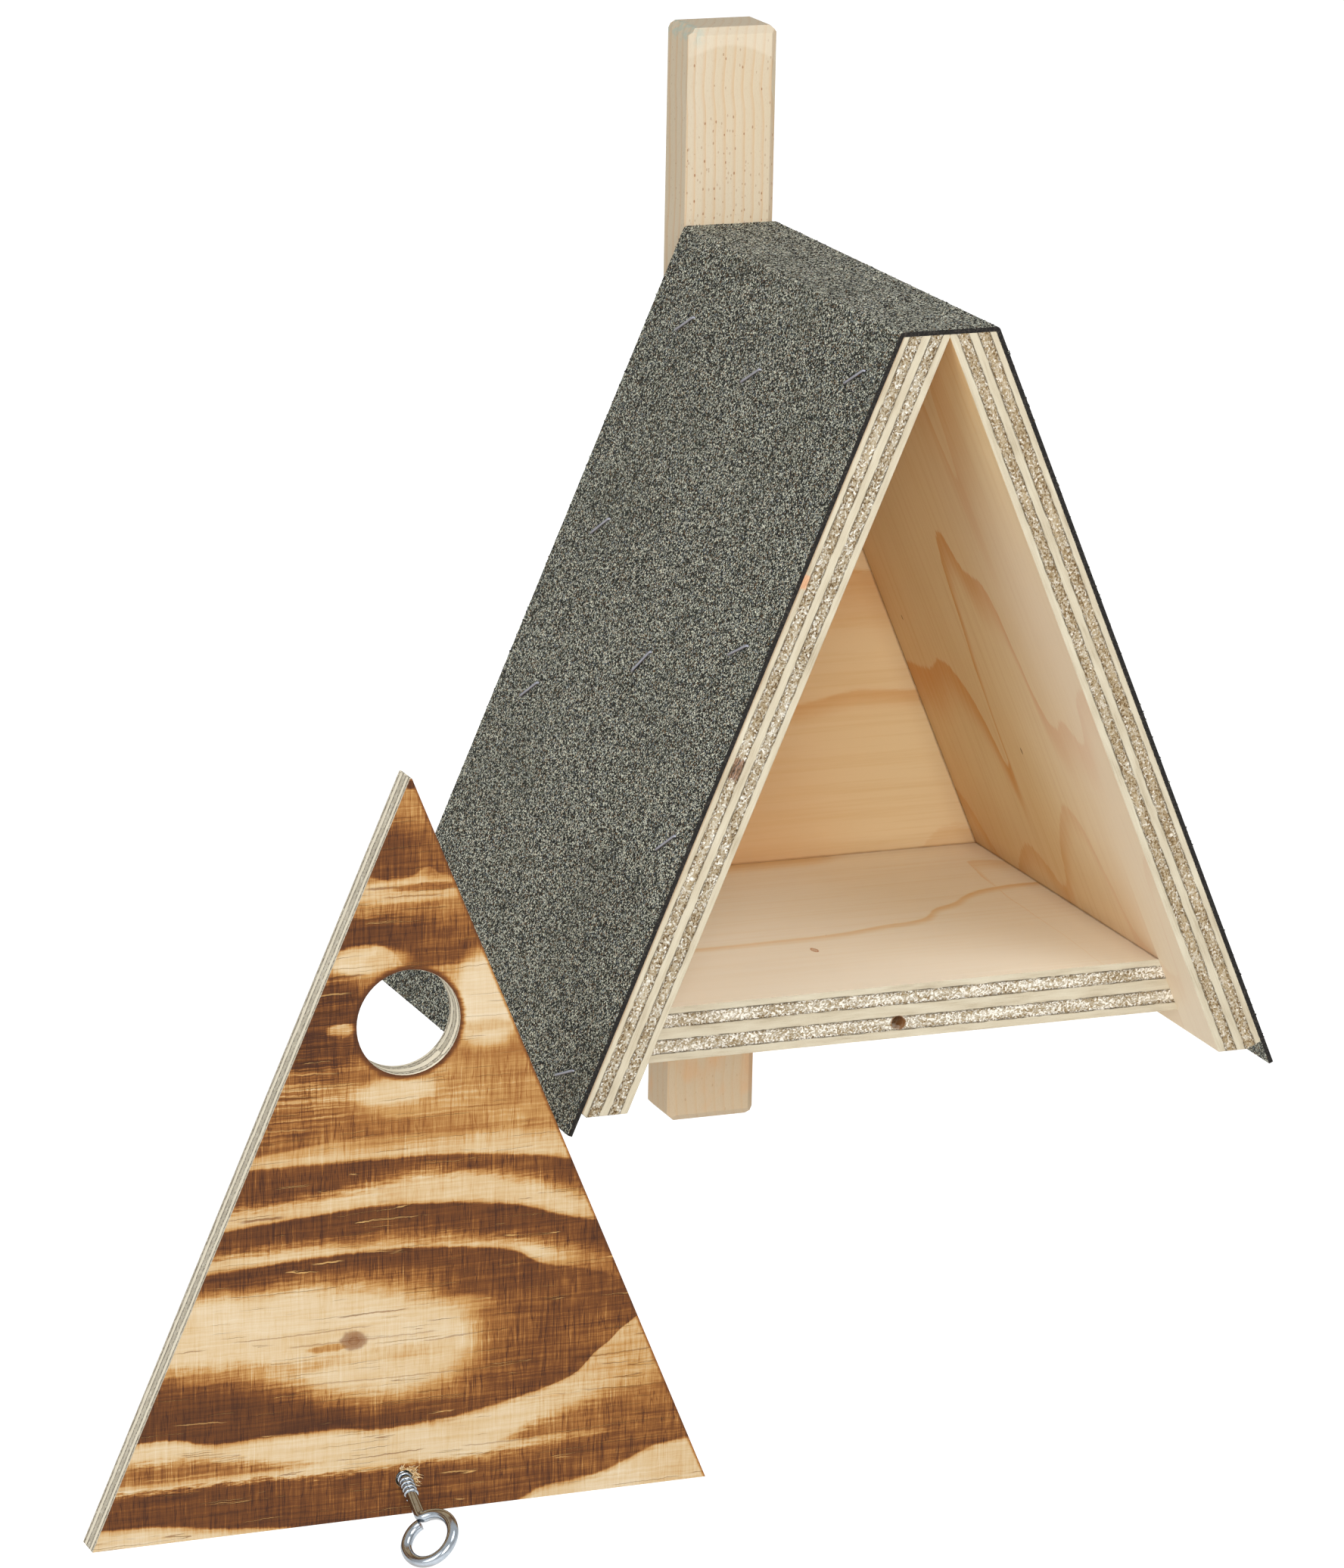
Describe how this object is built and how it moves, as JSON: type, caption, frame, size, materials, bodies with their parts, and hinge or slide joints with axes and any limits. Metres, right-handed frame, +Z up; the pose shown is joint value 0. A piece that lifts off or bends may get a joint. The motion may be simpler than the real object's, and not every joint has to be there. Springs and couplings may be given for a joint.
{
  "type": "nest box",
  "caption": "Gable-shaped plywood nest box on a hanging batten, felted roof, with a lift-off scorched front panel that has a round entrance and a screw eye.",
  "frame": {"origin": "centre of the hanging batten's back face", "axes": "+Z up along the batten, +Y out of the batten's back face towards the wall or tree, so the open front faces -Y"},
  "size_m": [0.4102, 0.2557, 0.4414],
  "materials": {
    "plywood": "raw plywood, pine faces, layered edges",
    "pine_veneer": "smooth pine face",
    "spruce": "planed spruce",
    "flamed_plywood": "scorched in bands with a flame",
    "felt": "mineral granules on bitumen felt",
    "zinc": "zinc-plated steel"
  },
  "bodies": {
    "box": {"left_roof_board": "plywood", "right_roof_board": "plywood", "floor": "plywood", "back_panel": "pine_veneer", "roof_felt": "felt", "batten": "spruce", "batten_screw_upper": "zinc", "batten_screw_lower": "zinc", "staple_left_1": "zinc", "staple_left_2": "zinc", "staple_left_3": "zinc", "staple_left_4": "zinc", "staple_left_5": "zinc", "staple_left_6": "zinc", "staple_left_7": "zinc", "staple_left_8": "zinc", "staple_left_9": "zinc", "staple_right_1": "zinc", "staple_right_2": "zinc", "staple_right_3": "zinc", "staple_right_4": "zinc", "staple_right_5": "zinc", "staple_right_6": "zinc", "staple_right_7": "zinc", "staple_right_8": "zinc", "staple_right_9": "zinc"},
    "screw_eye": {"screw_eye": "zinc"},
    "front_panel": {"front_panel": "flamed_plywood"}
  },
  "joints": [
    {"name": "panel_carry", "type": "slide", "parent": "box", "child": "screw_eye", "axis": [0.8355, 0, 0.5495], "range_m": [0, 0.21964]},
    {"name": "panel_seat", "type": "slide", "parent": "screw_eye", "child": "front_panel", "axis": [0, 1, 0], "range_m": [0, 0.0301]}
  ]
}
